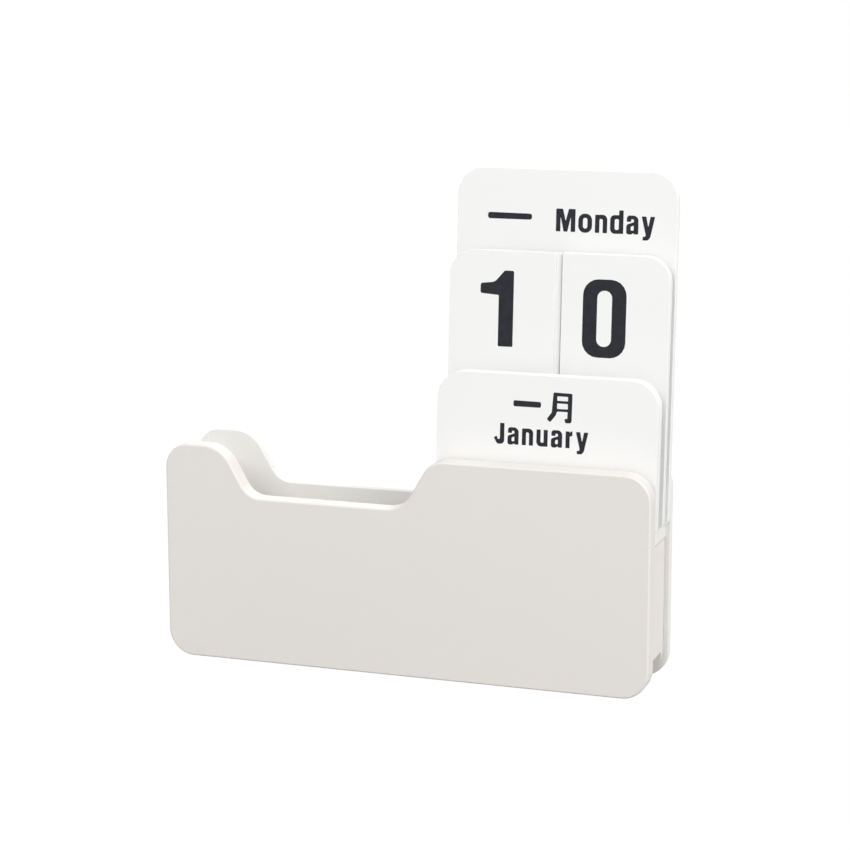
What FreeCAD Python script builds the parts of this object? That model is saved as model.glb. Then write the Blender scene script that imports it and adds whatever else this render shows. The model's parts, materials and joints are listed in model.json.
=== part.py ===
import FreeCAD, Part
import math
import os

from FreeCAD import Rotation, Vector

# Desk calendar with a drawer: two rounded plates over a recessed core, which leaves an open tray at
# the left, a leaning card rack at the right and a drawer under the rack. All sizes in millimetres.
# X runs along the front, Y from the front face to the back face, Z up from the desk.

# ---- case outline, seen from the front ----
WIDTH = 150.0
SHOULDER_HEIGHT = 65.7        # top edge of the left hump and of the card pocket
DIP_HEIGHT = 50.5             # top edge of the tray between them
FOOT_RADIUS = 8.0             # both lower corners
HUMP_CORNER_RADIUS = 7.5      # outer top corner at the left
POCKET_CORNER_RADIUS = 8.0    # outer top corner at the right
HUMP_END = 12.2               # where the top of the hump starts to fall
HUMP_CREST_RADIUS = 10.0
HUMP_HOLLOW_RADIUS = 7.0
POCKET_LENGTH = 61.8          # from the right-hand end to where the top of the pocket starts to fall
POCKET_CREST_RADIUS = 7.0
POCKET_HOLLOW_RADIUS = 9.5
SLOPE = 60.0                  # degrees, both falling edges

# ---- plates ----
FRONT_PLATE_THICKNESS = 5.8
BACK_PLATE_THICKNESS = 2.7
OUTER_EDGE_ROUND = 0.8        # on the two faces that are seen
INNER_EDGE_CHAMFER = 0.35     # on the faces towards the core
PIN_RADIUS = 0.9              # moulded pins that locate the plates in the core
PIN_LENGTH = 3.0
PIN_PLAY = 0.05

# ---- core ----
CORE_RECESS = 1.6             # core stands back from the plates' edge all round
END_WALL = 3.0
SLAB = 3.0                    # bottom slab
CEILING = 3.0                 # over the drawer, under the card rack
DIVIDING_WALL = 2.8           # between the tray and the drawer bay
TRAY_CORNER_RADIUS = 4.0
BAY_FRONT_LAP = 7.0           # the drawer's front laps the end of the slab by this much

# ---- cards ----
CARD_THICKNESS = 0.6
CARD_AIR = 0.05               # between neighbours in a stack
LEAN = 3.63                   # degrees, tops towards the back
CARD_WIDTH = 66.0
NUMBER_GAP = 2.0              # between the tens and the units card in front
SPARE_GAP = 0.3               # between those behind, where the loose tens have slid towards the units
MONTH_LENGTH = 44.2
NUMBER_LENGTH = 78.4
WEEKDAY_LENGTH = 101.8
MONTH_RADIUS = 8.0
NUMBER_RADIUS = 7.5
WEEKDAY_RADIUS = 8.0
CARD_FOOT_RADIUS = 1.5
INNER_CORNER_RADIUS = 0.5     # number cards, where the tens meets the units
CARD_LIFT_GAP = 0.1           # under the cards' lower edge
MONTH_COUNT = 6
TENS_COUNT = 2
UNITS_COUNT = 5
WEEKDAY_COUNT = 4
MONTH_INSET = 0.4             # from the right-hand end of the case to the cards' edge
NUMBER_INSET = 0.35
WEEKDAY_INSET = 0.0

# ---- card rack ----
POCKET_DEPTH = 18.7           # from the plates' top edge down to the cards' feet
RACK_BASE = 1.2
RACK_PLAY = 0.15              # rack to plates and dividing wall
DIVIDER_HEIGHT = 13.0         # above the rack's base
MONTH_DIVIDER = 1.2
NUMBER_DIVIDER = 0.9
MONTH_FRONT_ROOM = 0.5        # front plate to the first month card, at the cards' feet
STACK_PLAY = 0.15             # stack to the divider that it leans on
NUMBER_FRONT_ROOM = 3.85      # month divider to the first number card
WEEKDAY_FRONT_ROOM = 0.7      # number divider to the first weekday card
REST_RIB = 1.6                # ribs that the weekday stack leans on
REST_RIB_COUNT = 3
SIDE_ROOM = 0.7               # left edge of the widest-set card to the dividing wall

# ---- drawer ----
DRAWER_WALL = 1.5
DRAWER_FLOOR = 1.6
DRAWER_SIDE_PLAY = 0.3
DRAWER_RUN_PLAY = 0.2         # under the drawer
DRAWER_TOP_PLAY = 0.25
DRAWER_REAR_PLAY = 0.6
DRAWER_LIP_DROP = 3.0         # side walls stop below the drawer front's top edge
DRAWER_INNER_RADIUS = 2.5
GRIP_RADIUS = 7.0             # finger scoop at the foot of the drawer front
GRIP_CHEEK = 2.2              # drawer front left standing at both sides of the scoop

# ---- places that follow from the sizes above ----
LEAN_RATE = math.tan(math.radians(LEAN))
ALONG_Y = 1.0 / math.cos(math.radians(LEAN))     # a leaning thickness, measured along Y
CARD_PITCH = (CARD_THICKNESS + CARD_AIR) * ALONG_Y
RACK_TOP = SHOULDER_HEIGHT - POCKET_DEPTH        # the cards' feet stand here
CORE_FRONT = FRONT_PLATE_THICKNESS
CUT_OVER = 1.0                # cutting blocks stand this far out of what they cut


def stack_depth(count):
    """Depth along Y of a stack of cards."""
    return (count * CARD_THICKNESS + (count - 1) * CARD_AIR) * ALONG_Y


# front faces of the rows at the cards' feet, from the front plate to the back
MONTH_Y = CORE_FRONT + MONTH_FRONT_ROOM
MONTH_DIVIDER_Y = MONTH_Y + stack_depth(MONTH_COUNT) + STACK_PLAY
NUMBER_Y = MONTH_DIVIDER_Y + MONTH_DIVIDER + NUMBER_FRONT_ROOM
NUMBER_DIVIDER_Y = NUMBER_Y + stack_depth(max(TENS_COUNT, UNITS_COUNT)) + STACK_PLAY
WEEKDAY_Y = NUMBER_DIVIDER_Y + NUMBER_DIVIDER + WEEKDAY_FRONT_ROOM
REST_Y = WEEKDAY_Y + stack_depth(WEEKDAY_COUNT) + STACK_PLAY
CORE_BACK = REST_Y + POCKET_DEPTH * LEAN_RATE    # the last card just clears the back plate's top
DEPTH = CORE_BACK + BACK_PLATE_THICKNESS

CARD_LEFT = WIDTH - MONTH_INSET - CARD_WIDTH
DIVIDING_WALL_RIGHT = CARD_LEFT - SIDE_ROOM
CEILING_TOP = RACK_TOP - RACK_BASE
BAY_TOP = CEILING_TOP - CEILING
BAY_FLOOR = CORE_RECESS + SLAB
CORE_RIGHT = WIDTH - CORE_RECESS
SLAB_RIGHT = CORE_RIGHT - BAY_FRONT_LAP

# the origin is under the middle of the whole object, cards included
CARD_TOP_Y = WEEKDAY_Y + stack_depth(WEEKDAY_COUNT) + WEEKDAY_LENGTH * math.sin(math.radians(LEAN))
ORIGIN = Vector(WIDTH / 2, max(DEPTH, CARD_TOP_Y) / 2, 0)


def arc(centre_x, centre_z, radius, start, end):
    """Arc in the XZ plane between two angles in degrees from +X towards +Z."""
    points = []
    for angle in (start, (start + end) / 2, end):
        a = math.radians(angle)
        points.append(Vector(centre_x + radius * math.cos(a), 0, centre_z + radius * math.sin(a)))
    return Part.Arc(*points).toShape()


def closed_wire(arcs):
    """Join arcs, given in order, with straight lines into one closed wire."""
    edges = []
    for number, edge in enumerate(arcs):
        following = arcs[(number + 1) % len(arcs)]
        edges.append(edge)
        end = edge.lastVertex().Point
        start = following.firstVertex().Point
        if end.distanceToPoint(start) > 1e-6:
            edges.append(Part.LineSegment(end, start).toShape())
    return Part.Wire(edges)


def fall(crest_x, crest_radius, hollow_radius, side, inset):
    """Crest and hollow arcs of one falling edge; side is +1 where it falls to the right."""
    top = SHOULDER_HEIGHT
    slope = math.radians(SLOPE)
    drop = SHOULDER_HEIGHT - DIP_HEIGHT
    curved = (crest_radius + hollow_radius) * (1 - math.cos(slope))
    straight = (drop - curved) / math.sin(slope)
    run = (crest_radius + hollow_radius) * math.sin(slope) + straight * math.cos(slope)
    hollow_x = crest_x + side * run
    crest = (crest_x, top - crest_radius, crest_radius - inset)
    hollow = (hollow_x, DIP_HEIGHT + hollow_radius, hollow_radius + inset)
    if side > 0:
        return arc(*crest, 90, 90 - SLOPE), arc(*hollow, 270 - SLOPE, 270)
    return arc(*hollow, 270, 270 + SLOPE), arc(*crest, 90 + SLOPE, 90)


def outline(inset=0.0):
    """The case seen from the front, clockwise from the lower left, drawn in by inset."""
    foot = FOOT_RADIUS - inset
    hump_corner = HUMP_CORNER_RADIUS - inset
    pocket_corner = POCKET_CORNER_RADIUS - inset
    arcs = [
        arc(FOOT_RADIUS, FOOT_RADIUS, foot, 270, 180),
        arc(HUMP_CORNER_RADIUS, SHOULDER_HEIGHT - HUMP_CORNER_RADIUS, hump_corner, 180, 90),
        *fall(HUMP_END, HUMP_CREST_RADIUS, HUMP_HOLLOW_RADIUS, 1, inset),
        *fall(WIDTH - POCKET_LENGTH, POCKET_CREST_RADIUS, POCKET_HOLLOW_RADIUS, -1, inset),
        arc(WIDTH - POCKET_CORNER_RADIUS, SHOULDER_HEIGHT - POCKET_CORNER_RADIUS, pocket_corner, 90, 0),
        arc(WIDTH - FOOT_RADIUS, FOOT_RADIUS, foot, 0, -90),
    ]
    return closed_wire(arcs)


def slab_of(wire, front, back):
    """Solid between two Y places from a closed wire in the XZ plane."""
    face = Part.Face(wire)
    face.translate(Vector(0, front, 0))
    return face.extrude(Vector(0, back - front, 0))


def block(x0, x1, y0, y1, z0, z1):
    return Part.makeBox(x1 - x0, y1 - y0, z1 - z0, Vector(x0, y0, z0))


def edges_at(solid, place):
    """Outline edges of the solid that lie in the plane Y = place."""
    return [e for e in solid.Edges if all(abs(v.Point.y - place) < 1e-6 for v in e.Vertexes)]


def plate(outer, inner):
    """Plate between two Y places, rounded at its outer face and chamfered at its inner one."""
    solid = slab_of(outline(), min(outer, inner), max(outer, inner))
    solid = solid.makeFillet(OUTER_EDGE_ROUND, edges_at(solid, outer))
    return solid.makeChamfer(INNER_EDGE_CHAMFER, edges_at(solid, inner))


def pin_places():
    """Where the plates are pinned to the core, as X and Z along the middle of its walls."""
    end_wall = CORE_RECESS + END_WALL / 2
    slab = CORE_RECESS + SLAB / 2
    ceiling = CEILING_TOP - CEILING / 2
    dividing = DIVIDING_WALL_RIGHT - DIVIDING_WALL / 2
    slab_end = SLAB_RIGHT - 2 * PIN_LENGTH
    return [
        (end_wall, SHOULDER_HEIGHT - 2 * HUMP_CORNER_RADIUS),
        (end_wall + 2 * FOOT_RADIUS, slab),
        (dividing, SHOULDER_HEIGHT - 2 * POCKET_CREST_RADIUS),
        (slab_end, slab),
        (slab_end, ceiling),
    ]


def pins(face_y, direction, radius, length):
    """One cylinder at each pin place, from a face of the core into it."""
    rods = []
    for x, z in pin_places():
        rods.append(Part.makeCylinder(radius, length, Vector(x, face_y, z), Vector(0, direction, 0)))
    return rods


def front_plate():
    rods = pins(CORE_FRONT, 1, PIN_RADIUS, PIN_LENGTH)
    return plate(0, CORE_FRONT).fuse(rods).removeSplitter()


def back_plate():
    rods = pins(CORE_BACK, -1, PIN_RADIUS, PIN_LENGTH)
    return plate(DEPTH, CORE_BACK).fuse(rods).removeSplitter()


def core():
    """End wall, bottom slab, dividing wall and drawer ceiling in one moulding, open at both faces."""
    y0 = CORE_FRONT - CUT_OVER
    y1 = CORE_BACK + CUT_OVER
    body = slab_of(outline(CORE_RECESS), CORE_FRONT, CORE_BACK)
    tray_left = CORE_RECESS + END_WALL
    tray_right = DIVIDING_WALL_RIGHT - DIVIDING_WALL
    tray = block(tray_left, tray_right, y0, y1, BAY_FLOOR, SHOULDER_HEIGHT)
    corners = [e for e in tray.Edges if runs_along_y(e) and e.BoundBox.ZMax < BAY_FLOOR + 1e-3]
    tray = tray.makeFillet(TRAY_CORNER_RADIUS, corners)
    bay = block(DIVIDING_WALL_RIGHT, WIDTH, y0, y1, BAY_FLOOR, BAY_TOP)
    bay_mouth = block(SLAB_RIGHT, WIDTH, y0, y1, 0, BAY_TOP)
    pocket = block(DIVIDING_WALL_RIGHT, WIDTH, y0, y1, CEILING_TOP, SHOULDER_HEIGHT)
    body = body.cut([tray, bay, bay_mouth, pocket])
    hole = PIN_RADIUS + PIN_PLAY
    depth = PIN_LENGTH + PIN_RADIUS
    sockets = pins(CORE_FRONT, 1, hole, depth) + pins(CORE_BACK, -1, hole, depth)
    return body.cut(sockets)


def runs_along_y(edge):
    box = edge.BoundBox
    return box.XLength < 1e-6 and box.ZLength < 1e-6


def leaning_wall(x0, x1, foot_y, thickness, z0, z1):
    """Upright wall whose two faces lean back like the cards; foot_y is its front face at RACK_TOP."""
    low = foot_y + (z0 - RACK_TOP) * LEAN_RATE
    high = foot_y + (z1 - RACK_TOP) * LEAN_RATE
    corners = [Vector(x0, low, z0), Vector(x0, low + thickness, z0)]
    corners += [Vector(x0, high + thickness, z1), Vector(x0, high, z1), Vector(x0, low, z0)]
    return Part.Face(Part.makePolygon(corners)).extrude(Vector(x1 - x0, 0, 0))


def card_rack():
    """Insert with three leaning slots; the tens and the units stand side by side in the second."""
    x0 = DIVIDING_WALL_RIGHT + RACK_PLAY
    x1 = CORE_RIGHT
    front = CORE_FRONT + RACK_PLAY
    back = CORE_BACK - RACK_PLAY
    base = block(x0, x1, front, back, CEILING_TOP, RACK_TOP)
    top = RACK_TOP + DIVIDER_HEIGHT
    month_divider = leaning_wall(x0, x1, MONTH_DIVIDER_Y, MONTH_DIVIDER, CEILING_TOP, top)
    number_divider = leaning_wall(x0, x1, NUMBER_DIVIDER_Y, NUMBER_DIVIDER, CEILING_TOP, top)
    pieces = [month_divider, number_divider]
    for number in range(REST_RIB_COUNT):
        left = x0 + (x1 - x0 - REST_RIB) * number / (REST_RIB_COUNT - 1)
        pieces.append(rest_rib(left, back, top))
    return base.fuse(pieces).removeSplitter()


def rest_rib(left, back, top):
    """Wedge between the weekday stack and the back plate."""
    low = REST_Y - RACK_BASE * LEAN_RATE
    high = REST_Y + (top - RACK_TOP) * LEAN_RATE
    corners = [Vector(left, low, CEILING_TOP), Vector(left, back, CEILING_TOP)]
    corners += [Vector(left, back, top), Vector(left, high, top), Vector(left, low, CEILING_TOP)]
    return Part.Face(Part.makePolygon(corners)).extrude(Vector(REST_RIB, 0, 0))


def drawer():
    """Open tray with a solid front that closes the bay and fills the case's lower corner."""
    front = CORE_FRONT + DRAWER_SIDE_PLAY
    back = CORE_BACK - DRAWER_SIDE_PLAY
    rear = DIVIDING_WALL_RIGHT + DRAWER_REAR_PLAY
    floor = BAY_FLOOR + DRAWER_RUN_PLAY
    top = BAY_TOP - DRAWER_TOP_PLAY
    panel_left = SLAB_RIGHT + DRAWER_RUN_PLAY
    body = block(rear, CORE_RIGHT, front, back, floor, top)
    panel = block(panel_left, CORE_RIGHT, front, back, CORE_RECESS, top)
    shape = body.fuse(panel).removeSplitter().common(slab_of(outline(CORE_RECESS), front, back))
    inside = block(rear + DRAWER_WALL, panel_left, front + DRAWER_WALL, back - DRAWER_WALL,
                   floor + DRAWER_FLOOR, SHOULDER_HEIGHT)
    upright = [e for e in inside.Edges if e.BoundBox.XLength < 1e-6 and e.BoundBox.YLength < 1e-6]
    inside = inside.makeFillet(DRAWER_INNER_RADIUS, upright)
    lowered = block(rear - CUT_OVER, panel_left, front - CUT_OVER, back + CUT_OVER,
                    top - DRAWER_LIP_DROP, SHOULDER_HEIGHT)
    scoop = Part.makeCylinder(GRIP_RADIUS, back - front - 2 * GRIP_CHEEK,
                              Vector(CORE_RIGHT, front + GRIP_CHEEK, CORE_RECESS), Vector(0, 1, 0))
    return shape.cut([inside, lowered, scoop])


def card(left, width, foot_y, length, left_radius, right_radius):
    """One flat card with rounded top corners, leaning back about its front lower edge."""
    foot = CARD_FOOT_RADIUS
    arcs = [
        arc(foot, foot, foot, 270, 180),
        arc(left_radius, length - left_radius, left_radius, 180, 90),
        arc(width - right_radius, length - right_radius, right_radius, 90, 0),
        arc(width - foot, foot, foot, 0, -90),
    ]
    solid = slab_of(closed_wire(arcs), 0, CARD_THICKNESS)
    solid.rotate(Vector(0, 0, 0), Vector(1, 0, 0), -LEAN)
    solid.translate(Vector(left, foot_y, RACK_TOP + CARD_LIFT_GAP))
    return solid


def card_stack(name, count, left, width, foot_y, length, left_radius, right_radius, slide=0.0):
    """Named cards of one stack; number 1 is in front, and slide moves those behind it to the right."""
    cards = {}
    for number in range(count):
        x = left + slide if number else left
        place = foot_y + number * CARD_PITCH
        cards[f"{name}_card_{number + 1}"] = card(x, width, place, length, left_radius, right_radius)
    return cards


def cards():
    half = (CARD_WIDTH - NUMBER_GAP) / 2
    month_left = WIDTH - MONTH_INSET - CARD_WIDTH
    tens_left = WIDTH - NUMBER_INSET - CARD_WIDTH
    units_left = tens_left + half + NUMBER_GAP
    weekday_left = WIDTH - WEEKDAY_INSET - CARD_WIDTH
    month = (month_left, CARD_WIDTH, MONTH_Y, MONTH_LENGTH, MONTH_RADIUS, MONTH_RADIUS)
    tens = (tens_left, half, NUMBER_Y, NUMBER_LENGTH, NUMBER_RADIUS, INNER_CORNER_RADIUS)
    units = (units_left, half, NUMBER_Y, NUMBER_LENGTH, INNER_CORNER_RADIUS, NUMBER_RADIUS)
    weekday = (weekday_left, CARD_WIDTH, WEEKDAY_Y, WEEKDAY_LENGTH, WEEKDAY_RADIUS, WEEKDAY_RADIUS)
    return {
        **card_stack("month", MONTH_COUNT, *month),
        **card_stack("tens", TENS_COUNT, *tens, slide=NUMBER_GAP - SPARE_GAP),
        **card_stack("units", UNITS_COUNT, *units),
        **card_stack("weekday", WEEKDAY_COUNT, *weekday),
    }


def main():
    os.makedirs("parts", exist_ok=True)
    pieces = {
        "front_plate": front_plate(),
        "back_plate": back_plate(),
        "core": core(),
        "card_rack": card_rack(),
        "drawer": drawer(),
        **cards(),
    }
    for name, shape in pieces.items():
        shape.translate(-ORIGIN)
        if not shape.isValid() or len(shape.Solids) != 1:
            raise RuntimeError(f"{name} is not one valid solid")
        shape.Solids[0].exportStep(f"parts/{name}.step")
        print(name, round(shape.Volume, 1), "mm3")
    print("depth", round(DEPTH, 3), "card lean rate", round(LEAN_RATE, 5), "origin", ORIGIN)


main()
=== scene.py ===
import json
import math

import bmesh
import bpy
from bpy.props import FloatProperty, FloatVectorProperty, IntProperty, PointerProperty
from mathutils import Matrix, Vector


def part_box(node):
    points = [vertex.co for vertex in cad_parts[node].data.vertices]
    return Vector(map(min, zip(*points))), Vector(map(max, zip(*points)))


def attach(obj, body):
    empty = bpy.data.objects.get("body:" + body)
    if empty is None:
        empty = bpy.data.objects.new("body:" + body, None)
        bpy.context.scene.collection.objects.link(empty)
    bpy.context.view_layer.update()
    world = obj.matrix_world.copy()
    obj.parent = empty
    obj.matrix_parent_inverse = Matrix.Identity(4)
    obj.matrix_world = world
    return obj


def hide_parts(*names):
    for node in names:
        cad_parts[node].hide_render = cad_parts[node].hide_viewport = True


bl_info = {
    "name": "Desk calendar with drawer",
    "version": (1, 0, 0),
    "blender": (4, 5, 0),
    "location": "3D View > Sidebar > Calendar",
    "description": "Case, drawer, card rack and printed card stacks, with a plain stage",
    "category": "Object",
}

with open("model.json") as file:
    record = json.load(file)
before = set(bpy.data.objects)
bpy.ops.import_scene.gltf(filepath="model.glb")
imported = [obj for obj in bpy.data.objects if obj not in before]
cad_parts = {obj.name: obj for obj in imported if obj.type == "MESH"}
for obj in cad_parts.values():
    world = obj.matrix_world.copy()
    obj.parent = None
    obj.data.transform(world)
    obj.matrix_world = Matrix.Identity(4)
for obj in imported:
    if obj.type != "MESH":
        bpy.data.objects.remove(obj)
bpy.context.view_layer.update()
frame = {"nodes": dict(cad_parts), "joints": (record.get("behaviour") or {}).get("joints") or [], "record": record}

MM = 0.001
CASE_LOW, CASE_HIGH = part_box("front_plate")
CORE_LOW, CORE_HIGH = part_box("core")
BACK_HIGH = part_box("back_plate")[1]
FRONTS = {kind: f"{kind}_front" for kind in ("month", "tens", "units", "weekday")}
SPARES = {"month": "month_spares", "tens": "tens_spare",
          "units": "units_spares", "weekday": "weekday_spares"}
LIFT_AXIS = Vector(next(j for j in frame["joints"] if j["child"] == "month_front")["axis"])
CARD_LEAN = math.atan2(LIFT_AXIS.y, LIFT_AXIS.z)


# ---------------------------------------------------------------- settings

def length(name, millimetres, description):
    """A length property in metres, with its default given in millimetres."""
    return FloatProperty(name=name, default=millimetres * MM, min=0.0, unit="LENGTH",
                         precision=5, description=description)


def colour(name, value, description):
    """A linear colour property."""
    return FloatVectorProperty(name=name, default=value, subtype="COLOR", size=3,
                               min=0.0, max=1.0, description=description)


class CaseSizes(bpy.types.PropertyGroup):
    """Outline and rounding of the plates, the core and the drawer"""
    width: length("Width", (CASE_HIGH.x - CASE_LOW.x) / MM, "Case from end to end")
    shoulder: length("Shoulder height", CASE_HIGH.z / MM, "Top edge of the hump and the pocket")
    dip: length("Dip height", 50.5, "Top edge of the tray between them")
    foot_radius: length("Foot radius", 8.0, "Both lower corners")
    hump_corner: length("Hump corner radius", 7.5, "Outer top corner at the left")
    pocket_corner: length("Pocket corner radius", 8.0, "Outer top corner at the right")
    hump_end: length("Hump end", 12.2, "Where the top of the hump starts to fall")
    hump_crest: length("Hump crest radius", 10.0, "Rounding where the hump starts to fall")
    hump_hollow: length("Hump hollow radius", 7.0, "Rounding where the hump meets the dip")
    pocket_start: length("Pocket start", 88.2, "Where the top of the pocket starts to fall")
    pocket_crest: length("Pocket crest radius", 7.0, "Rounding where the pocket starts to fall")
    pocket_hollow: length("Pocket hollow radius", 9.5, "Rounding where the pocket meets the dip")
    slope: FloatProperty(name="Slope", default=math.radians(60.0), subtype="ANGLE",
                         description="Steepness of both falling edges")
    face_round: length("Face rounding", 0.6, "Rounding round the two outer faces")
    inner_round: length("Inner rounding", 0.35, "Rounding on the faces towards the core")
    core_round: length("Core rounding", 0.2, "Softening of the core, the rack and the drawer")


class CardSizes(bpy.types.PropertyGroup):
    """Shape of the cards and how loosely the spare ones stand"""
    thickness: length("Thickness", 0.6, "One plastic card")
    air: length("Air", 0.05, "Between neighbours in a stack")
    edge_round: length("Edge rounding", 0.14, "Softened edge of a die-cut card")
    foot_radius: length("Foot radius", 1.5, "Lower corners")
    month_radius: length("Month corner radius", 8.0, "Upper corners of the month cards")
    number_radius: length("Number corner radius", 7.5, "Outer upper corners of the number cards")
    inner_radius: length("Inner corner radius", 0.5, "Where the tens meets the units")
    weekday_radius: length("Weekday corner radius", 8.0, "Upper corners of the weekday cards")
    side_scatter: length("Side scatter", 0.12, "How far spare cards stand out of line sideways")
    lift_scatter: length("Lift scatter", 0.2, "How far spare cards stand out of line upwards")
    seed: IntProperty(name="Seed", default=7, description="Changes the scatter of the spare cards")
    ink_depth: length("Ink depth", 0.02, "How far the print stands out of the card")


class FinishSettings(bpy.types.PropertyGroup):
    """Colours and grain of the plastics and the ink"""
    case_colour: colour("Case colour", (0.808, 0.768, 0.720), "Warm off-white of the front plate")
    # Lighter than the case colour in two ways: partly the core's and back plate's own more neutral off-white, and
    # partly painted fill light that lifts the shaded inside of the tray between the plates.
    core_colour_with_painted_fill: colour("Core colour", (0.915, 0.908, 0.883),
                        "Off-white of the core, the rack and the back plate")
    drawer_colour: colour("Drawer colour", (0.815, 0.778, 0.734), "Off-white of the drawer")
    card_colour: colour("Card colour", (0.770, 0.771, 0.775), "White of the cards")
    ink_colour: colour("Ink colour", (0.013, 0.014, 0.020), "Black print")
    grain: length("Grain size", 0.22, "Spacing of the moulded plastic's fine grain")
    mottle: length("Mottle size", 14.0, "Spacing of the faint change of tone")


class StageSettings(bpy.types.PropertyGroup):
    """Camera, lamps, room and floor"""
    lens: FloatProperty(name="Lens", default=105.09, unit="CAMERA",
                        description="Focal length, in millimetres")
    place: FloatVectorProperty(name="Camera place", default=(0.238881, -0.677752, 0.218923), size=3,
                               subtype="XYZ", unit="LENGTH", description="Where the camera stands")
    azimuth: FloatProperty(name="Azimuth", default=math.radians(19.223), subtype="ANGLE",
                           description="Camera's turn round the calendar, towards the drawer end")
    elevation: FloatProperty(name="Elevation", default=math.radians(11.469), subtype="ANGLE",
                             description="How steeply the camera looks down")
    roll: FloatProperty(name="Roll", default=math.radians(-0.105), subtype="ANGLE",
                        description="Turn of the camera about its own view line")
    lamp_distance: length("Lamp distance", 2400.0, "From the middle of the calendar to each lamp")
    lamp_size: length("Lamp size", 1200.0, "Edge of each square lamp")
    front_light: FloatProperty(name="Front light", default=20.5, min=0.0, unit="POWER",
                               description="Wide lamp above the front, towards the tray end")
    side_light: FloatProperty(name="Side light", default=35.0, min=0.0, unit="POWER",
                              description="Wide lamp above the drawer end")
    back_light: FloatProperty(name="Back light", default=22.7, min=0.0, unit="POWER",
                              description="Wide lamp above and behind")
    room_light: FloatProperty(name="Room light", default=0.54, min=0.0,
                              description="Even light from all round")
    floor_shade: FloatProperty(name="Floor shade", default=0.07, min=0.0, max=1.0, subtype="FACTOR",
                               description="How much of the soft shadow the white floor shows")


# ---------------------------------------------------------------- meshes

QUARTER = math.pi / 2
ARC_STEPS = 20                    # on the case's corners and falls
CARD_STEPS = 12                   # on a card's upper corners
RIM_STEPS = 6                     # across a rounded edge
CAD_MERGE = 0.002 * MM            # points of a CAD node that stand closer are one
FLAT_ANGLE = math.radians(0.5)    # faces that turn less are one flat face
SHARP_ANGLE = math.radians(35)    # edges that turn more are softened
CRISP_ANGLE = math.radians(40)    # edges that turn more stay crisp in the shading
SOFT_SEGMENTS = 2                 # across a softened edge


def arc(centre_x, centre_z, radius, start, end, hollow=False, steps=ARC_STEPS):
    """Points of an arc between two angles in degrees, each with the outline's outward direction."""
    sign = -1 if hollow else 1
    points = []
    for step in range(steps + 1):
        angle = math.radians(start + (end - start) * step / steps)
        across, up = math.cos(angle), math.sin(angle)
        points.append((centre_x + radius * across, centre_z + radius * up,
                       sign * across, sign * up))
    return points


def fall(case, crest_x, crest_radius, hollow_radius, side):
    """Centres of a falling edge's crest and hollow; side is 1 where it falls to the right."""
    curved = (crest_radius + hollow_radius) * (1 - math.cos(case.slope))
    straight = (case.shoulder - case.dip - curved) / math.sin(case.slope)
    run = (crest_radius + hollow_radius) * math.sin(case.slope) + straight * math.cos(case.slope)
    crest = (crest_x, case.shoulder - crest_radius)
    hollow = (crest_x + side * run, case.dip + hollow_radius)
    return crest, hollow


def case_outline(case):
    """The case seen from the front, clockwise from the lower left."""
    slope = math.degrees(case.slope)
    hump_crest, hump_hollow = fall(
        case, case.hump_end, case.hump_crest, case.hump_hollow, side=1)
    pocket_crest, pocket_hollow = fall(
        case, case.pocket_start, case.pocket_crest, case.pocket_hollow, side=-1)
    foot, corner, end = case.foot_radius, case.hump_corner, case.pocket_corner
    return (
        arc(foot, foot, foot, 270, 180)
        + arc(corner, case.shoulder - corner, corner, 180, 90)
        + arc(*hump_crest, case.hump_crest, 90, 90 - slope)
        + arc(*hump_hollow, case.hump_hollow, 270 - slope, 270, hollow=True)
        + arc(*pocket_hollow, case.pocket_hollow, 270, 270 + slope, hollow=True)
        + arc(*pocket_crest, case.pocket_crest, 90 + slope, 90)
        + arc(case.width - end, case.shoulder - end, end, 90, 0)
        + arc(case.width - foot, foot, foot, 0, -90)
    )


def card_outline(width, height, foot, left, right):
    """A card with rounded upper corners, clockwise from the lower left."""
    return (
        arc(foot, foot, foot, 270, 180, steps=CARD_STEPS // 2)
        + arc(left, height - left, left, 180, 90, steps=CARD_STEPS)
        + arc(width - right, height - right, right, 90, 0, steps=CARD_STEPS)
        + arc(width - foot, foot, foot, 0, -90, steps=CARD_STEPS // 2)
    )


def rim(front, back, front_round, back_round):
    """Rows (inset, depth, turn) across a slab's rim, from its front face to its back face."""
    rows = []
    for step in range(RIM_STEPS + 1):
        turn = -QUARTER * (1 - step / RIM_STEPS)
        depth = front + front_round * (1 + math.sin(turn))
        rows.append((front_round * (1 - math.cos(turn)), depth, turn))
    for step in range(RIM_STEPS + 1):
        turn = QUARTER * step / RIM_STEPS
        depth = back - back_round * (1 - math.sin(turn))
        rows.append((back_round * (1 - math.cos(turn)), depth, turn))
    return rows


def slab_mesh(name, outline, rows, corner=Vector((0, 0, 0)), true_normals=False):
    """Closed slab with a rounded rim and flat faces. Its edge attribute is 1 along the rim."""
    points, normals, rub = [], [], []
    for inset, depth, turn in rows:
        level = math.cos(turn)
        for x, z, out_x, out_z in outline:
            points.append(corner + Vector((x - inset * out_x, depth, z - inset * out_z)))
            normals.append(Vector((out_x * level, math.sin(turn), out_z * level)))
            rub.append(abs(math.sin(2 * turn)))
    count = len(outline)
    faces = [list(range(count))]
    for row in range(len(rows) - 1):
        near, far = row * count, (row + 1) * count
        for i in range(count):
            j = (i + 1) % count
            faces.append([near + i, near + j, far + j, far + i])
    faces.append([(len(rows) - 1) * count + i for i in reversed(range(count))])
    mesh = bpy.data.meshes.new(name)
    mesh.from_pydata(points, [], faces)
    mesh.attributes.new("edge", "FLOAT", "POINT").data.foreach_set("value", rub)
    mesh.validate()
    point_outwards(mesh)
    for face in mesh.polygons:
        face.use_smooth = true_normals or len(face.vertices) == 4
    if true_normals:
        mesh.normals_split_custom_set_from_vertices(normals)
    return mesh


def point_outwards(mesh):
    """Turn every face of a closed mesh outwards."""
    work = bmesh.new()
    work.from_mesh(mesh)
    bmesh.ops.recalc_face_normals(work, faces=work.faces)
    work.to_mesh(mesh)
    work.free()


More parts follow.
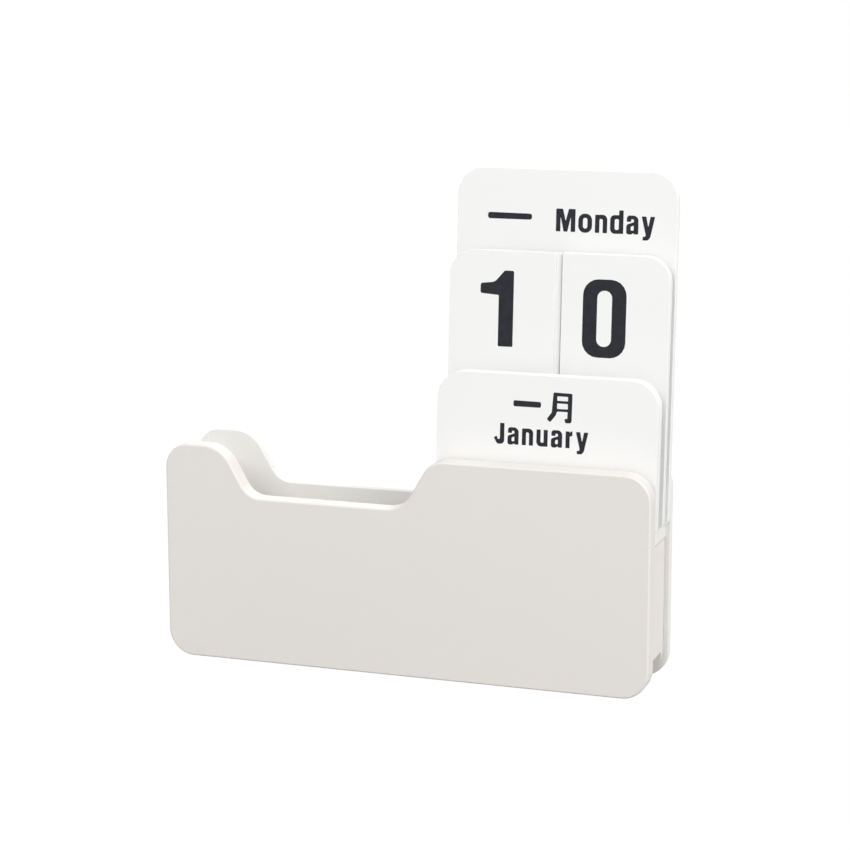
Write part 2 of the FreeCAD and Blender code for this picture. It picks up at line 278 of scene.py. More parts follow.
def softened_mesh(name, node, radius):
    """Copy of a CAD node with merged points, clean flat faces and softly rounded sharp edges."""
    work = bmesh.new()
    work.from_mesh(frame["nodes"][node].data)
    bmesh.ops.remove_doubles(work, verts=work.verts, dist=CAD_MERGE)
    bmesh.ops.dissolve_limit(work, angle_limit=FLAT_ANGLE, verts=work.verts, edges=work.edges)
    rub = work.faces.layers.float.new("edge")
    sharp = [edge for edge in work.edges
             if len(edge.link_faces) == 2 and edge.calc_face_angle() > SHARP_ANGLE]
    made = bmesh.ops.bevel(work, geom=sharp, offset=radius, offset_type="OFFSET",
                           segments=SOFT_SEGMENTS, profile=0.5, affect="EDGES", clamp_overlap=True)
    for face in made["faces"]:
        face[rub] = 1.0
    bmesh.ops.recalc_face_normals(work, faces=work.faces)
    for face in work.faces:
        face.smooth = True
    mesh = bpy.data.meshes.new(name)
    work.to_mesh(mesh)
    work.free()
    mesh.set_sharp_from_angle(angle=CRISP_ANGLE)
    return mesh


def add_piece(name, mesh, body, finish=None, nodes=()):
    """Put a finished mesh in the scene, riding on its body and standing for its CAD nodes."""
    piece = bpy.data.objects.new(name, mesh)
    bpy.context.scene.collection.objects.link(piece)
    if finish:
        mesh.materials.clear()
        mesh.materials.append(finish)
    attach(piece, body)
    if nodes:
        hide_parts(*nodes)
    return piece


def add_softened(name, node, body, slot):
    """Softened copy of a CAD node, which it replaces."""
    case = bpy.context.scene.calendar_case
    mesh = softened_mesh(name, node, case.core_round)
    piece = add_piece(name, mesh, body, bpy.data.materials[slot], [node])
    weighted = piece.modifiers.new("Even shading", "WEIGHTED_NORMAL")
    weighted.keep_sharp = True
    weighted.weight = 80
    return piece


# ---------------------------------------------------------------- finishes

FLOAT, VECTOR = "NodeSocketFloat", "NodeSocketVector"
WAVE_SCALE = 0.22                          # the grain's coarser waves, set against its fine bumps
WAVE_HEIGHT = 0.6
DUST_COLOUR = (0.62, 0.60, 0.57, 1.0)
PLASTIC_IOR = 1.49
GRAIN_DEPTH = 0.02 * MM
WORN_TONE = 1.12                           # a rubbed edge is this much lighter
WORN_POLISH = 0.12                         # and this much smoother
SMOOTHEST, ROUGHEST = -0.04, 0.05          # how far the roughness strays with the tone
SURFACES = {
    "case_plastic": dict(roughness=0.46, bump=0.35, contrast=0.012, rub=0.6, dust=0.10),
    "core_plastic": dict(roughness=0.50, bump=0.30, contrast=0.010, rub=0.3, dust=0.12),
    "drawer_plastic": dict(roughness=0.48, bump=0.32, contrast=0.010, rub=0.5, dust=0.10),
    "card_plastic": dict(roughness=0.38, bump=0.12, contrast=0.005, rub=0.4, dust=0.04),
    "ink": dict(roughness=0.42, bump=0.25, contrast=0.25, rub=0.0, dust=0.0, gloss=0.25),
}


def new_group(name, inputs, outputs):
    """Empty shader node group with the named sockets."""
    group = bpy.data.node_groups.new(name, "ShaderNodeTree")
    for socket, kind, value in inputs:
        made = group.interface.new_socket(socket, in_out="INPUT", socket_type=kind)
        if value is not None:
            made.default_value = value
    for socket, kind in outputs:
        group.interface.new_socket(socket, in_out="OUTPUT", socket_type=kind)
    return group, group.nodes.new("NodeGroupInput"), group.nodes.new("NodeGroupOutput")


def add_node(tree, kind, settings=(), **values):
    """Node with its settings and inputs; i0 and i1 name inputs by number, a socket is linked."""
    node = tree.nodes.new(kind)
    for key, value in dict(settings).items():
        setattr(node, key, value)
    for key, value in values.items():
        socket = node.inputs[int(key[1:]) if key[1:].isdigit() else key.replace("_", " ")]
        if isinstance(value, bpy.types.NodeSocket):
            tree.links.new(value, socket)
        else:
            socket.default_value = value
    return node


def arithmetic(tree, operation, first, second=0.0, clamp=False):
    """Result of one Math node."""
    settings = {"operation": operation, "use_clamp": clamp}
    return add_node(tree, "ShaderNodeMath", settings, i0=first, i1=second).outputs[0]


def grain_group():
    """Fine bumps of a spark-eroded mould and the faint change of tone of thick plastic."""
    group, given, made = new_group(
        "Moulded grain",
        [("Vector", VECTOR, None), ("Grain", FLOAT, 4000.0), ("Mottle", FLOAT, 70.0)],
        [("Height", FLOAT), ("Tone", FLOAT)])
    vector = given.outputs["Vector"]
    fine = add_node(group, "ShaderNodeTexNoise", Vector=vector, Scale=given.outputs["Grain"],
                    Detail=2.0, Roughness=0.55)
    coarse = arithmetic(group, "MULTIPLY", given.outputs["Grain"], WAVE_SCALE)
    waves = add_node(group, "ShaderNodeTexNoise", Vector=vector, Scale=coarse, Detail=1.0)
    tone = add_node(group, "ShaderNodeTexNoise", Vector=vector, Scale=given.outputs["Mottle"],
                    Detail=3.0, Roughness=0.5)
    soft = arithmetic(group, "MULTIPLY", waves.outputs["Fac"], WAVE_HEIGHT)
    height = arithmetic(group, "ADD", fine.outputs["Fac"], soft)
    spread = add_node(group, "ShaderNodeMapRange", {"clamp": True}, Value=tone.outputs["Fac"],
                      From_Min=0.3, From_Max=0.7)
    group.links.new(height, made.inputs["Height"])
    group.links.new(spread.outputs[0], made.inputs["Tone"])
    return group


def rub_group():
    """Where hands polish the edges: the edge attribute, broken up by noise."""
    group, given, made = new_group(
        "Edge rub",
        [("Vector", VECTOR, None), ("Breakup", FLOAT, 300.0), ("Amount", FLOAT, 0.5)],
        [("Mask", FLOAT)])
    edge = add_node(group, "ShaderNodeAttribute", {"attribute_name": "edge"})
    noise = add_node(group, "ShaderNodeTexNoise", Vector=given.outputs["Vector"],
                     Scale=given.outputs["Breakup"], Detail=3.0)
    patches = add_node(group, "ShaderNodeMapRange", {"clamp": True}, Value=noise.outputs["Fac"],
                       From_Min=0.35, From_Max=0.65, To_Min=0.55)
    broken = arithmetic(group, "MULTIPLY", edge.outputs["Fac"], patches.outputs[0])
    amount = arithmetic(group, "MULTIPLY", broken, given.outputs["Amount"], clamp=True)
    group.links.new(amount, made.inputs["Mask"])
    return group


def dust_group():
    """Thin settled dust on what faces up."""
    group, given, made = new_group(
        "Settled dust",
        [("Vector", VECTOR, None), ("Spread", FLOAT, 500.0), ("Amount", FLOAT, 0.2)],
        [("Mask", FLOAT)])
    face = add_node(group, "ShaderNodeNewGeometry")
    split = add_node(group, "ShaderNodeSeparateXYZ", Vector=face.outputs["Normal"])
    upward = add_node(group, "ShaderNodeMapRange", {"clamp": True}, Value=split.outputs["Z"],
                      From_Min=0.75, From_Max=1.0)
    noise = add_node(group, "ShaderNodeTexNoise", Vector=given.outputs["Vector"],
                     Scale=given.outputs["Spread"], Detail=5.0, Roughness=0.7)
    specks = add_node(group, "ShaderNodeMapRange", {"clamp": True}, Value=noise.outputs["Fac"],
                      From_Min=0.45, From_Max=0.75)
    settled = arithmetic(group, "MULTIPLY", upward.outputs[0], specks.outputs[0])
    amount = arithmetic(group, "MULTIPLY", settled, given.outputs["Amount"])
    group.links.new(amount, made.inputs["Mask"])
    return group


def blend_colours(tree, mask, first, second):
    """Mix of two colours by a mask."""
    mix = tree.nodes.new("ShaderNodeMix")
    mix.data_type = "RGBA"
    for socket, value in ((0, mask), (6, first), (7, second)):
        if isinstance(value, bpy.types.NodeSocket):
            tree.links.new(value, mix.inputs[socket])
        else:
            mix.inputs[socket].default_value = value
    return mix.outputs[2]


def shade(base, factor):
    """Colour made lighter or darker, with alpha for a node socket."""
    return [min(channel * factor, 1.0) for channel in base] + [1.0]


def use_group(tree, name, **values):
    """One of the shared shader groups, placed in a material with its own values."""
    return add_node(tree, "ShaderNodeGroup", {"node_tree": bpy.data.node_groups[name]}, **values)


def plastic(name, base, grain, mottle, roughness, bump, contrast, rub, dust, gloss=0.5):
    """Moulded plastic; grain and mottle are spacings, contrast is how far its tone strays."""
    material = bpy.data.materials.new(name)
    material.use_nodes = True
    tree = material.node_tree
    shader = tree.nodes["Principled BSDF"]
    place = add_node(tree, "ShaderNodeTexCoord").outputs["Object"]
    texture = use_group(tree, "Moulded grain", Vector=place, Grain=1 / grain, Mottle=1 / mottle)
    rubbed = use_group(tree, "Edge rub", Vector=place, Amount=rub)
    dusty = use_group(tree, "Settled dust", Vector=place, Amount=dust)
    tone = blend_colours(tree, texture.outputs["Tone"],
                         shade(base, 1 - contrast), shade(base, 1 + contrast))
    worn = blend_colours(tree, rubbed.outputs["Mask"], tone, shade(base, WORN_TONE))
    dusted = blend_colours(tree, dusty.outputs["Mask"], worn, DUST_COLOUR)
    tree.links.new(dusted, shader.inputs["Base Color"])
    uneven = add_node(tree, "ShaderNodeMapRange", {"clamp": True}, Value=texture.outputs["Tone"],
                      To_Min=roughness + SMOOTHEST, To_Max=roughness + ROUGHEST)
    polish = arithmetic(tree, "MULTIPLY", rubbed.outputs["Mask"], WORN_POLISH)
    smoother = arithmetic(tree, "SUBTRACT", uneven.outputs[0], polish)
    tree.links.new(smoother, shader.inputs["Roughness"])
    relief = add_node(tree, "ShaderNodeBump", Strength=bump, Distance=GRAIN_DEPTH,
                      Height=texture.outputs["Height"])
    tree.links.new(relief.outputs["Normal"], shader.inputs["Normal"])
    shader.inputs["IOR"].default_value = PLASTIC_IOR
    shader.inputs["Specular IOR Level"].default_value = gloss
    return material


class CALENDAR_OT_finishes(bpy.types.Operator):
    """Make the plastics of the case, core, drawer and cards, and the ink"""
    bl_idname = "calendar.finishes"
    bl_label = "Finishes"

    def execute(self, context):
        look = context.scene.calendar_finish
        grain_group()
        rub_group()
        dust_group()
        for name, base, grain, mottle in (
                ("case_plastic", look.case_colour, look.grain, look.mottle),
                ("core_plastic", look.core_colour_with_painted_fill, look.grain, look.mottle),
                ("drawer_plastic", look.drawer_colour, look.grain, look.mottle),
                ("card_plastic", look.card_colour, look.grain / 2, look.mottle),
                ("ink", look.ink_colour, look.grain / 2, look.mottle / 8)):
            plastic(name, base, grain, mottle, **SURFACES[name])
        return {"FINISHED"}


# ---------------------------------------------------------------- case, core, rack and drawer

class CALENDAR_OT_plates(bpy.types.Operator):
    """Make the front and back plates with their rounded rims"""
    bl_idname = "calendar.plates"
    bl_label = "Plates"

    def execute(self, context):
        case = context.scene.calendar_case
        outline = case_outline(case)
        corner = Vector((CASE_LOW.x, 0, 0))
        front = rim(CASE_LOW.y, CORE_LOW.y, case.face_round, case.inner_round)
        back = rim(CORE_HIGH.y, BACK_HIGH.y, case.inner_round, case.face_round)
        for node, rows, slot in (("front_plate", front, "case_plastic"),
                                 # The back plate takes the core's plastic, whose lighter tone is partly painted
                                 # fill light for the shaded inside of the tray.
                                 ("back_plate", back, "core_plastic")):
            mesh = slab_mesh(f"{node}_shell", outline, rows, corner, true_normals=True)
            add_piece(mesh.name, mesh, "case", bpy.data.materials[slot], [node])
        return {"FINISHED"}


class CALENDAR_OT_core(bpy.types.Operator):
    """Make the core between the plates and the leaning card rack"""
    bl_idname = "calendar.core"
    bl_label = "Core and card rack"

    def execute(self, context):
        add_softened("core_frame", "core", "case", "core_plastic")
        add_softened("card_rack_insert", "card_rack", "case", "core_plastic")
        return {"FINISHED"}


class CALENDAR_OT_drawer(bpy.types.Operator):
    """Make the drawer with its finger scoop"""
    bl_idname = "calendar.drawer"
    bl_label = "Drawer"

    def execute(self, context):
        add_softened("drawer_tray", "drawer", "drawer", "drawer_plastic")
        return {"FINISHED"}


# ---------------------------------------------------------------- cards

def card_place(node, thickness):
    """Matrix from a card's own plane (across, into the card, up the card) to its leaning place."""
    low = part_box(node)[0]
    foot = Vector((low.x, low.y, low.z + thickness * math.sin(CARD_LEAN)))
    return Matrix.Translation(foot) @ Matrix.Rotation(-CARD_LEAN, 4, "X")


def card_size(node, thickness):
    """Width and length of a card."""
    low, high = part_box(node)
    foot = low.z + thickness * math.sin(CARD_LEAN)
    return high.x - low.x, (high.z - foot) / math.cos(CARD_LEAN)


def card_mesh(name, kind, cards):
    """One card of a stack in its own plane."""
    radii = {"month": (cards.month_radius, cards.month_radius),
             "tens": (cards.number_radius, cards.inner_radius),
             "units": (cards.inner_radius, cards.number_radius),
             "weekday": (cards.weekday_radius, cards.weekday_radius)}
    width, height = card_size(f"{kind}_card_1", cards.thickness)
    outline = card_outline(width, height, cards.foot_radius, *radii[kind])
    return slab_mesh(name, outline, rim(0, cards.thickness, cards.edge_round, cards.edge_round))


def stack_tree():
    """Geometry Nodes tree that repeats a card into a stack, with the cards a little out of line."""
    tree = bpy.data.node_groups.new("Card stack", "GeometryNodeTree")
    for name, kind in (("Card", "NodeSocketGeometry"), ("Cards", "NodeSocketInt"), ("Pitch", FLOAT),
                       ("Side scatter", FLOAT), ("Lift scatter", FLOAT), ("Seed", "NodeSocketInt"),
                       ("Finish", "NodeSocketMaterial")):
        tree.interface.new_socket(name, in_out="INPUT", socket_type=kind)
    tree.interface.new_socket("Stack", in_out="OUTPUT", socket_type="NodeSocketGeometry")
    given = tree.nodes.new("NodeGroupInput").outputs
    result = tree.nodes.new("NodeGroupOutput")
    step = add_node(tree, "ShaderNodeCombineXYZ", Y=given["Pitch"])
    line = add_node(tree, "GeometryNodeMeshLine", Count=given["Cards"], Offset=step.outputs[0])
    stack = add_node(tree, "GeometryNodeInstanceOnPoints", Points=line.outputs[0],
                     Instance=given["Card"])
    left = arithmetic(tree, "MULTIPLY", given["Side scatter"], -1.0)
    lowest = add_node(tree, "ShaderNodeCombineXYZ", X=left)
    highest = add_node(tree, "ShaderNodeCombineXYZ", X=given["Side scatter"],
                       Z=given["Lift scatter"])
    index = add_node(tree, "GeometryNodeInputIndex")
    random = add_node(tree, "FunctionNodeRandomValue", {"data_type": "FLOAT_VECTOR"},
                      Min=lowest.outputs[0], Max=highest.outputs[0],
                      ID=index.outputs[0], Seed=given["Seed"])
    behind = arithmetic(tree, "GREATER_THAN", index.outputs[0], 0.5)
    shift = add_node(tree, "ShaderNodeVectorMath", {"operation": "SCALE"},
                     i0=random.outputs[0], Scale=behind)
    moved = add_node(tree, "GeometryNodeTranslateInstances", Instances=stack.outputs[0],
                     Translation=shift.outputs[0])
    solid = add_node(tree, "GeometryNodeRealizeInstances", Geometry=moved.outputs[0])
    done = add_node(tree, "GeometryNodeSetMaterial", Geometry=solid.outputs[0],
                    Material=given["Finish"])
    tree.links.new(done.outputs[0], result.inputs["Stack"])
    return tree


def stacked(card, tree, values):
    """Plain mesh of the stack that the tree makes of a card."""
    maker = bpy.data.objects.new("stack_maker", card)
    bpy.context.scene.collection.objects.link(maker)
    modifier = maker.modifiers.new("Stack", "NODES")
    modifier.node_group = tree
    for item in tree.interface.items_tree:
        if item.item_type == "SOCKET" and item.name in values:
            modifier[item.identifier] = values[item.name]
    maker.update_tag()
    bpy.context.view_layer.update()
    evaluated = maker.evaluated_get(bpy.context.evaluated_depsgraph_get())
    mesh = bpy.data.meshes.new_from_object(evaluated)
    bpy.data.objects.remove(maker)
    return mesh


class CALENDAR_OT_cards(bpy.types.Operator):
    """Make the front card and the spare cards of the four stacks"""
    bl_idname = "calendar.cards"
    bl_label = "Card stacks"

    def execute(self, context):
        cards = context.scene.calendar_cards
        finish = bpy.data.materials["card_plastic"]
        tree = stack_tree()
        for number, (kind, spares) in enumerate(SPARES.items()):
            front_node = f"{kind}_card_1"
            nodes = frame["record"]["behaviour"]["bodies"][spares]
            mesh = card_mesh(f"{kind}_front_card", kind, cards)
            mesh.transform(card_place(front_node, cards.thickness))
            add_piece(mesh.name, mesh, FRONTS[kind], finish, [front_node])
            mesh = stacked(card_mesh(f"{kind}_spare_card", kind, cards), tree, {
                "Cards": len(nodes), "Pitch": cards.thickness + cards.air, "Finish": finish,
                "Side scatter": cards.side_scatter, "Lift scatter": cards.lift_scatter,
                "Seed": cards.seed + number})
            mesh.name = f"{kind}_spare_cards"
            mesh.transform(card_place(nodes[0], cards.thickness))
            add_piece(mesh.name, mesh, spares, None, nodes)
        return {"FINISHED"}


# ---------------------------------------------------------------- prints

LETTER_STEPS = 5                  # on a letter's corners
SIDE_SHARE = 0.49                 # of a letter's side, that one corner's rounding may take
INK_SUNK = 0.5                    # of the ink's depth, that lies in the card
INK_MERGE = 0.001 * MM            # points of a print that stand closer are one
MONTH_TYPE = (0.93, 1.1)          # size and letter spacing of the month's word


def upright(x0, y0, x1, y1, radius):
    """Rectangle with rounded corners."""
    return [(x0, y0, radius), (x0, y1, radius), (x1, y1, radius), (x1, y0, radius)]


# Each sign's width and its loops. A loop is a list of corners (across, up, radius) in millimetres,
# at the size of the weekday's word. The first loop is the outside, and the others are holes.
SIGNS = {
    "M": (5.8, [[(0, 0, .15), (0, 6.6, .15), (2.0, 6.6, .15), (2.9, 3.0, .1), (3.8, 6.6, .15),
                 (5.8, 6.6, .15), (5.8, 0, .15), (4.45, 0, .15), (4.45, 4.4, .05), (3.45, 0, .15),
                 (2.35, 0, .15), (1.35, 4.4, .05), (1.35, 0, .15)]]),
    "o": (4.1, [upright(0, -.1, 4.1, 5.4, 1.9), upright(1.38, 1.1, 2.72, 4.2, .65)]),
    "n": (3.6, [[(0, 0, .12), (0, 5.2, .12), (3.6, 5.3, 1.4), (3.6, 0, .12), (2.3, 0, .12),
                 (2.3, 4.05, .5), (1.3, 4.05, .3), (1.3, 0, .12)]]),
    "u": (3.6, [[(3.6, 5.2, .12), (3.6, 0, .12), (0, -.1, 1.4), (0, 5.2, .12), (1.3, 5.2, .12),
                 (1.3, 1.15, .5), (2.3, 1.15, .3), (2.3, 5.2, .12)]]),
    "d": (3.9, [[(3.9, 0, .12), (0, -.1, 1.4), (0, 5.3, 1.4), (2.58, 5.3, .2), (2.58, 6.7, .12),
                 (3.9, 6.7, .12)], upright(1.32, 1.05, 2.58, 4.2, .5)]),
    "b": (3.9, [[(0, 0, .12), (3.9, -.1, 1.4), (3.9, 5.3, 1.4), (1.32, 5.3, .2), (1.32, 6.7, .12),
                 (0, 6.7, .12)], upright(1.32, 1.05, 2.58, 4.2, .5)]),
    "a": (3.55, [[(3.55, 0, .12), (2.25, 0, .1), (2.2, .35, .1), (1.4, -.1, .5), (0, -.1, .95),
                  (0, 2.7, .8), (2.2, 3.45, .3), (2.2, 4.3, .4), (1.4, 4.3, .3), (1.35, 3.55, .1),
                  (.1, 3.55, .12), (.1, 5.35, 1.5), (3.55, 5.35, 1.5)],
                 [(1.3, 1.0, .35), (1.3, 2.15, .35), (2.2, 2.5, .15), (2.2, 1.0, .35)]]),
    "y": (3.95, [[(0, 5.2, .12), (1.38, 5.2, .12), (2.02, 2.0, .1), (2.6, 5.2, .12),
                  (3.95, 5.2, .12), (2.7, -.7, 1.0), (2.0, -1.65, .9), (.45, -1.65, .12),
                  (.45, -.6, .12), (1.2, -.6, .3), (1.3, 0, .3)]]),
    "r": (2.15, [[(0, 0, .12), (0, 5.2, .12), (1.25, 5.2, .12), (1.3, 4.55, .1), (1.6, 5.3, .4),
                  (2.15, 5.3, .12), (2.15, 3.85, .12), (1.32, 3.75, .4), (1.32, 0, .12)]]),
    "J": (3.4, [[(2.0, 6.5, .12), (3.4, 6.5, .12), (3.4, 0, 1.5), (1.1, -.1, .9), (0, 1.9, .15),
                 (.95, 2.4, .15), (1.35, 1.35, .3), (2.0, 1.5, .4)]]),
    "T": (4.2, [[(0, 6.6, .12), (4.2, 6.6, .12), (4.2, 5.35, .12), (2.78, 5.35, .05),
                 (2.78, 0, .12), (1.42, 0, .12), (1.42, 5.35, .05), (0, 5.35, .12)]]),
    "F": (3.6, [[(0, 0, .12), (0, 6.6, .12), (3.6, 6.6, .12), (3.6, 5.35, .12), (1.4, 5.35, .05),
                 (1.4, 3.95, .05), (3.3, 3.95, .12), (3.3, 2.75, .12), (1.4, 2.75, .05),
                 (1.4, 0, .12)]]),
    "e": (3.8, [[(3.8, 2.2, .12), (1.35, 2.2, .05), (1.35, 1.0, .45), (2.5, 1.0, .4),
                 (2.5, 1.75, .1), (3.8, 1.75, .12), (3.8, -.1, 1.5), (0, -.1, 1.6),
                 (0, 5.35, 1.7), (3.8, 5.35, 1.7)], upright(1.35, 3.1, 2.5, 4.3, .4)]),
    "s": (3.6, [[(0, 1.75, .12), (1.25, 1.75, .1), (1.25, .95, .3), (2.35, .95, .4),
                 (2.3, 1.9, .5), (0, 3.2, .8), (0, 5.35, 1.4), (3.5, 5.35, 1.4), (3.5, 3.7, .12),
                 (2.25, 3.7, .1), (2.25, 4.35, .3), (1.25, 4.35, .4), (1.3, 3.6, .5),
                 (3.6, 2.2, .8), (3.6, -.1, 1.4), (0, -.1, 1.4)]]),
    "1": (10.4, [[(5.6, 0, .35), (5.6, 15.0, .3), (0, 15.4, .5), (0, 18.3, .7), (4.3, 18.8, 2.4),
                  (7.3, 22.2, .5), (10.1, 22.2, .5), (10.1, 0, .35)]]),
    "0": (12.9, [upright(0, 0, 12.9, 22.6, 4.6), upright(4.25, 3.2, 8.65, 19.4, 2.1)]),
    "2": (12.4, [[(0, 0, .35), (0, 4.2, 2.0), (8.0, 15.4, 1.6), (8.0, 19.2, 2.0),
                  (4.4, 19.2, 1.8), (4.4, 15.2, .35), (0, 15.2, .35), (0, 22.6, 5.2),
                  (12.4, 22.6, 5.2), (12.4, 14.0, 3.0), (5.6, 3.6, .4), (12.4, 3.6, .35),
                  (12.4, 0, .35)]]),
    "bar": (13.4, [[(0, 0, .7), (0, 1.85, .7), (13.4, 1.75, .7), (13.4, 0, .7)]]),
    "moon": (7.5, [[(1.85, 8.7, .35), (7.5, 8.6, .4), (7.4, .1, .7), (5.6, 0, .5),
                    (5.15, 1.2, .4), (6.15, 1.3, .3), (6.15, 3.25, .1), (3.05, 3.25, .3),
                    (2.6, 2.0, .8), (1.0, 0, .4), (0, .9, .4), (1.45, 2.9, .8)],
                   upright(3.0, 6.35, 6.2, 7.65, .15), upright(3.0, 4.0, 6.2, 5.6, .15)]),
}



def eased(loop):
    """Closed line through the corners of a loop, each rounded by its radius."""
    line = []
    for i, (x, y, radius) in enumerate(loop):
        corner = Vector((x, y))
        back = Vector(loop[i - 1][:2]) - corner
        ahead = Vector(loop[(i + 1) % len(loop)][:2]) - corner
        half = back.angle(ahead) / 2
        reach = min(radius / math.tan(half), SIDE_SHARE * back.length, SIDE_SHARE * ahead.length)
        start, end = corner + back.normalized() * reach, corner + ahead.normalized() * reach
        for step in range(LETTER_STEPS + 1):
            t = step / LETTER_STEPS
            pull = 2 * t * (1 - t) * math.sin(half)
            whole = (1 - t) ** 2 + pull + t ** 2
            line.append((start * (1 - t) ** 2 + corner * pull + end * t ** 2) / whole)
    return line


def sign(name, x, y, across=1.0, up=1.0):
    """Loops of one sign, placed on the card in millimetres."""
    return [[(x + p.x * across, y + p.y * up) for p in eased(loop)] for loop in SIGNS[name][1]]


def word(text, x, y, size=1.0, spacing=0.9):
    """Loops of a word that starts at x on the base line y."""
    loops = []
    for letter in text:
        loops += sign(letter, x, y, size, size)
        x += (SIGNS[letter][0] + spacing) * size
    return loops


def print_mesh(name, loops, depth):
    """Thin solid of the loops in the card's own plane, partly sunk into its face."""
    curve = bpy.data.curves.new(name, "CURVE")
    curve.dimensions = "2D"
    curve.fill_mode = "BOTH"
    curve.extrude = depth * (1 + INK_SUNK) / 2
    for loop in loops:
        spline = curve.splines.new("POLY")
        spline.points.add(len(loop) - 1)
        spline.use_cyclic_u = True
        for point, (x, y) in zip(spline.points, loop):
            point.co = (x * MM, y * MM, 0, 1)
    maker = bpy.data.objects.new("print_maker", curve)
    bpy.context.scene.collection.objects.link(maker)
    bpy.context.view_layer.update()
    evaluated = maker.evaluated_get(bpy.context.evaluated_depsgraph_get())
    mesh = bpy.data.meshes.new_from_object(evaluated)
    bpy.data.objects.remove(maker)
    mesh.name = name
    outwards = Matrix.Translation((0, -depth * (1 - INK_SUNK) / 2, 0))
    mesh.transform(outwards @ Matrix.Rotation(QUARTER, 4, "X"))
    work = bmesh.new()
    work.from_mesh(mesh)
    bmesh.ops.remove_doubles(work, verts=work.verts, dist=INK_MERGE)
    bmesh.ops.recalc_face_normals(work, faces=work.faces)
    work.to_mesh(mesh)
    work.free()
    return mesh


def legends():
    """What stands on the first two cards of a stack, in millimetres from a card's lower left."""
    return {
        "month_card_1": sign("bar", 23.1, 34.9, 0.62, 0.95) + sign("moon", 33.2, 30.9)
        + word("January", 17.4, 23.75, *MONTH_TYPE),
        "month_card_2": sign("bar", 23.9, 37.2, 0.50, 0.85) + sign("bar", 23.1, 32.4, 0.62, 0.95)
        + sign("moon", 33.2, 30.9) + word("February", 15.0, 23.75, *MONTH_TYPE),
        "tens_card_1": sign("1", 9.45, 50.4),
        "tens_card_2": sign("2", 8.3, 49.6),
        "units_card_1": sign("0", 6.45, 48.7),
        "units_card_2": sign("1", 8.0, 49.0),
        "weekday_card_1": sign("bar", 9.3, 87.0) + word("Monday", 30.0, 83.95),
        "weekday_card_2": sign("bar", 10.6, 90.4, 0.80, 0.95) + sign("bar", 9.3, 84.6)
        + word("Tuesday", 27.6, 83.95),
    }


class CALENDAR_OT_prints(bpy.types.Operator):
    """Print the month, date and weekday on the cards on show and on those behind them"""
    bl_idname = "calendar.prints"
    bl_label = "Prints"

    def execute(self, context):
        cards = context.scene.calendar_cards
        finish = bpy.data.materials["ink"]
        for node, loops in legends().items():
            kind, number = node.split("_card_")
            body = (FRONTS if number == "1" else SPARES)[kind]
            mesh = print_mesh(f"{node}_print", loops, cards.ink_depth)
            mesh.transform(card_place(node, cards.thickness))
            add_piece(mesh.name, mesh, body, finish)
        return {"FINISHED"}


# ---------------------------------------------------------------- stage

FLOOR_REACH = 2.0                 # from the middle to each edge
FLOOR_GREY = 0.42                 # what the floor gives back to the calendar
FLOOR_GLOW = 1.05                 # what is seen of it, a little over white to cover its shade
LAMP_PLACES = {"front": (-12, 38), "side": (66, 33), "back": (190, 35)}    # in degrees


def seen_directly(tree):
    """Mask that is 1 for what the camera sees, straight or through gloss and glass."""
    rays = add_node(tree, "ShaderNodeLightPath").outputs
    seen = arithmetic(tree, "MAXIMUM", rays["Is Camera Ray"], rays["Is Glossy Ray"])
    return arithmetic(tree, "MAXIMUM", seen, rays["Is Transmission Ray"])


def add_lamp(name, stage, azimuth, elevation, power):
    """Square lamp that faces the calendar; its azimuth turns from the front to the drawer end."""
    data = bpy.data.lights.new(name, "AREA")
    data.size = stage.lamp_size
    data.energy = power
    lamp = bpy.data.objects.new(name, data)
    bpy.context.scene.collection.objects.link(lamp)
    lamp.matrix_world = (
        Matrix.Translation((0, 0, CASE_HIGH.z))
        @ Matrix.Rotation(math.radians(azimuth), 4, "Z")
        @ Matrix.Rotation(QUARTER - math.radians(elevation), 4, "X")
        @ Matrix.Translation((0, 0, stage.lamp_distance))
    )


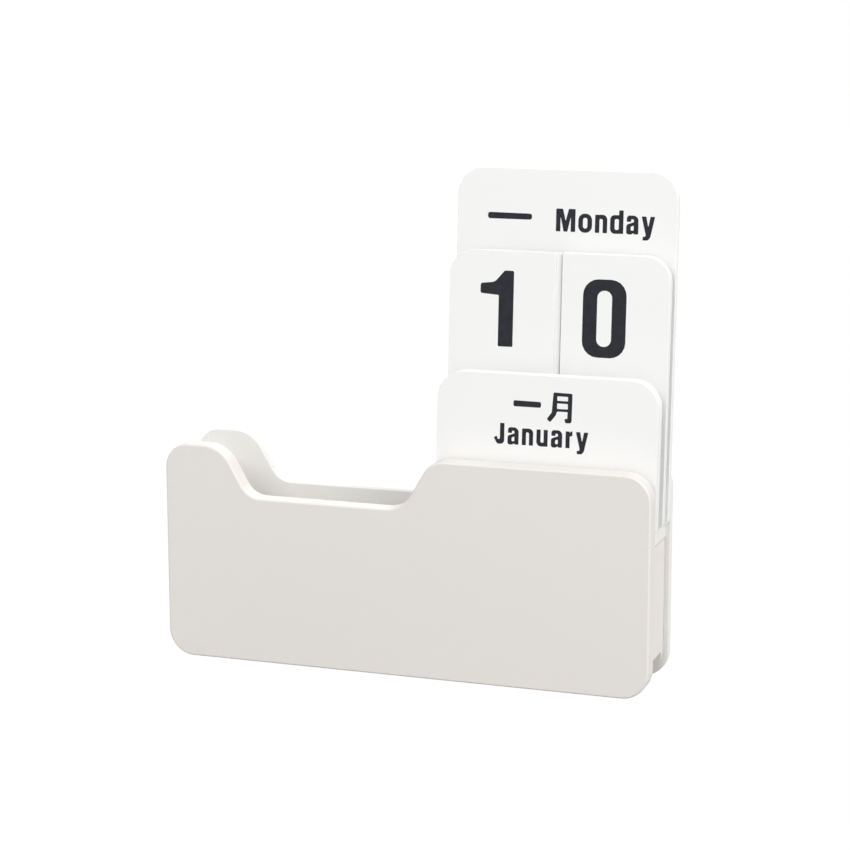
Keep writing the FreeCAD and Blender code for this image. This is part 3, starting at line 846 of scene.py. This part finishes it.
class CALENDAR_OT_stage(bpy.types.Operator):
    """Make the white floor, the even room light, three wide lamps and the camera"""
    bl_idname = "calendar.stage"
    bl_label = "Stage"

    def execute(self, context):
        stage = context.scene.calendar_stage
        self.floor(stage)
        self.room(stage)
        for side, (azimuth, elevation) in LAMP_PLACES.items():
            power = getattr(stage, f"{side}_light")
            add_lamp(f"{side}_lamp", stage, azimuth, elevation, power)
        self.camera(context, stage)
        context.scene.view_settings.view_transform = "Standard"
        return {"FINISHED"}

    def floor(self, stage):
        """White floor that keeps a faint soft shadow."""
        corners = [(FLOOR_REACH * x, FLOOR_REACH * y, 0)
                   for x, y in ((-1, -1), (1, -1), (1, 1), (-1, 1))]
        mesh = bpy.data.meshes.new("floor")
        mesh.from_pydata(corners, [], [(0, 1, 2, 3)])
        material = bpy.data.materials.new("floor_white")
        material.use_nodes = True
        tree = material.node_tree
        tree.nodes.clear()
        lit = add_node(tree, "ShaderNodeBsdfDiffuse", Color=[FLOOR_GREY] * 3 + [1])
        glow = add_node(tree, "ShaderNodeEmission", Color=(1, 1, 1, 1), Strength=FLOOR_GLOW)
        share = arithmetic(tree, "MULTIPLY", seen_directly(tree), 1 - stage.floor_shade)
        mixed = add_node(tree, "ShaderNodeMixShader",
                         i0=share, i1=lit.outputs[0], i2=glow.outputs[0])
        out = add_node(tree, "ShaderNodeOutputMaterial")
        tree.links.new(mixed.outputs[0], out.inputs["Surface"])
        mesh.materials.append(material)
        floor = bpy.data.objects.new("floor", mesh)
        bpy.context.scene.collection.objects.link(floor)

    def room(self, stage):
        """White room: plain white where it is seen, and even light on everything else."""
        world = bpy.data.worlds.new("room")
        bpy.context.scene.world = world
        world.use_nodes = True
        tree = world.node_tree
        tree.nodes.clear()
        light = add_node(tree, "ShaderNodeBackground",
                         Color=(1, 1, 1, 1), Strength=stage.room_light)
        white = add_node(tree, "ShaderNodeBackground", Color=(1, 1, 1, 1), Strength=1.0)
        mixed = add_node(tree, "ShaderNodeMixShader",
                         i0=seen_directly(tree), i1=light.outputs[0], i2=white.outputs[0])
        out = add_node(tree, "ShaderNodeOutputWorld")
        tree.links.new(mixed.outputs[0], out.inputs["Surface"])

    def camera(self, context, stage):
        """Camera in front, above, and a little towards the drawer end."""
        data = bpy.data.cameras.new("camera")
        data.lens = stage.lens
        data.clip_start, data.clip_end = 0.01, 20.0
        camera = bpy.data.objects.new("camera", data)
        context.scene.collection.objects.link(camera)
        camera.matrix_world = (
            Matrix.Translation(stage.place)
            @ Matrix.Rotation(stage.azimuth, 4, "Z")
            @ Matrix.Rotation(QUARTER - stage.elevation, 4, "X")
            @ Matrix.Rotation(stage.roll, 4, "Z")
        )
        context.scene.camera = camera


# ---------------------------------------------------------------- add-on

GROUPS = {"calendar_case": CaseSizes, "calendar_cards": CardSizes,
          "calendar_finish": FinishSettings, "calendar_stage": StageSettings}
STEPS = (CALENDAR_OT_finishes, CALENDAR_OT_plates, CALENDAR_OT_core, CALENDAR_OT_drawer,
         CALENDAR_OT_cards, CALENDAR_OT_prints, CALENDAR_OT_stage)


class CALENDAR_PT_panel(bpy.types.Panel):
    """Lists the steps that make the calendar, and their settings"""
    bl_idname = "CALENDAR_PT_panel"
    bl_label = "Desk calendar"
    bl_space_type = "VIEW_3D"
    bl_region_type = "UI"
    bl_category = "Calendar"

    def draw(self, context):
        for step in STEPS:
            self.layout.operator(step.bl_idname)
        for name, group in GROUPS.items():
            box = self.layout.box()
            for key in group.__annotations__:
                box.prop(getattr(context.scene, name), key)


CLASSES = (*GROUPS.values(), *STEPS, CALENDAR_PT_panel)


def register():
    """Add the settings, the steps and the panel to Blender."""
    for item in CLASSES:
        bpy.utils.register_class(item)
    for name, group in GROUPS.items():
        setattr(bpy.types.Scene, name, PointerProperty(type=group))


def unregister():
    """Take them out again."""
    for name in GROUPS:
        delattr(bpy.types.Scene, name)
    for item in reversed(CLASSES):
        bpy.utils.unregister_class(item)


def main():
    """Make the calendar and its stage step by step."""
    register()
    bpy.ops.calendar.finishes()
    bpy.ops.calendar.plates()
    bpy.ops.calendar.core()
    bpy.ops.calendar.drawer()
    bpy.ops.calendar.cards()
    bpy.ops.calendar.prints()
    bpy.ops.calendar.stage()


if __name__ == "__main__":
    main()
